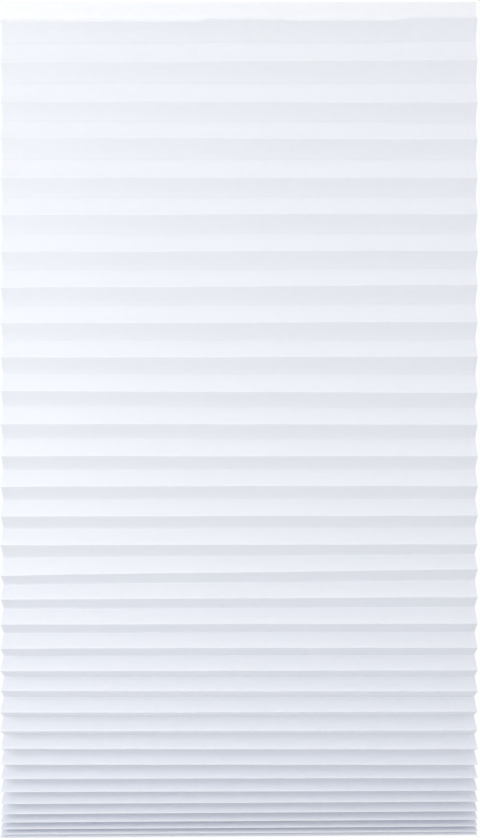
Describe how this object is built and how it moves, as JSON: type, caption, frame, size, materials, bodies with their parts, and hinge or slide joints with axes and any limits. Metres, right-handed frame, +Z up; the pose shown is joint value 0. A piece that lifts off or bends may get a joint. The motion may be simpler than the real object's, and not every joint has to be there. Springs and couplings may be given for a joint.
{
  "type": "pleated blind",
  "caption": "White self-adhesive pleated window blind, one folded sheet hanging open at the top and closing to a stack at the bottom.",
  "frame": {"origin": "centre of the adhesive strip's back face, which sticks to the window frame", "axes": "+X to the right of someone facing the blind, +Y into the wall or window frame, +Z up; the sheet hangs down along -Z and its front creases face -Y"},
  "size_m": [1, 0.0453, 1.7529],
  "materials": {
    "nonwoven_sheet": "matte",
    "adhesive_tape": "satin"
  },
  "bodies": {
    "root": {"pleated_sheet": "nonwoven_sheet", "adhesive_strip": "adhesive_tape"}
  },
  "joints": []
}
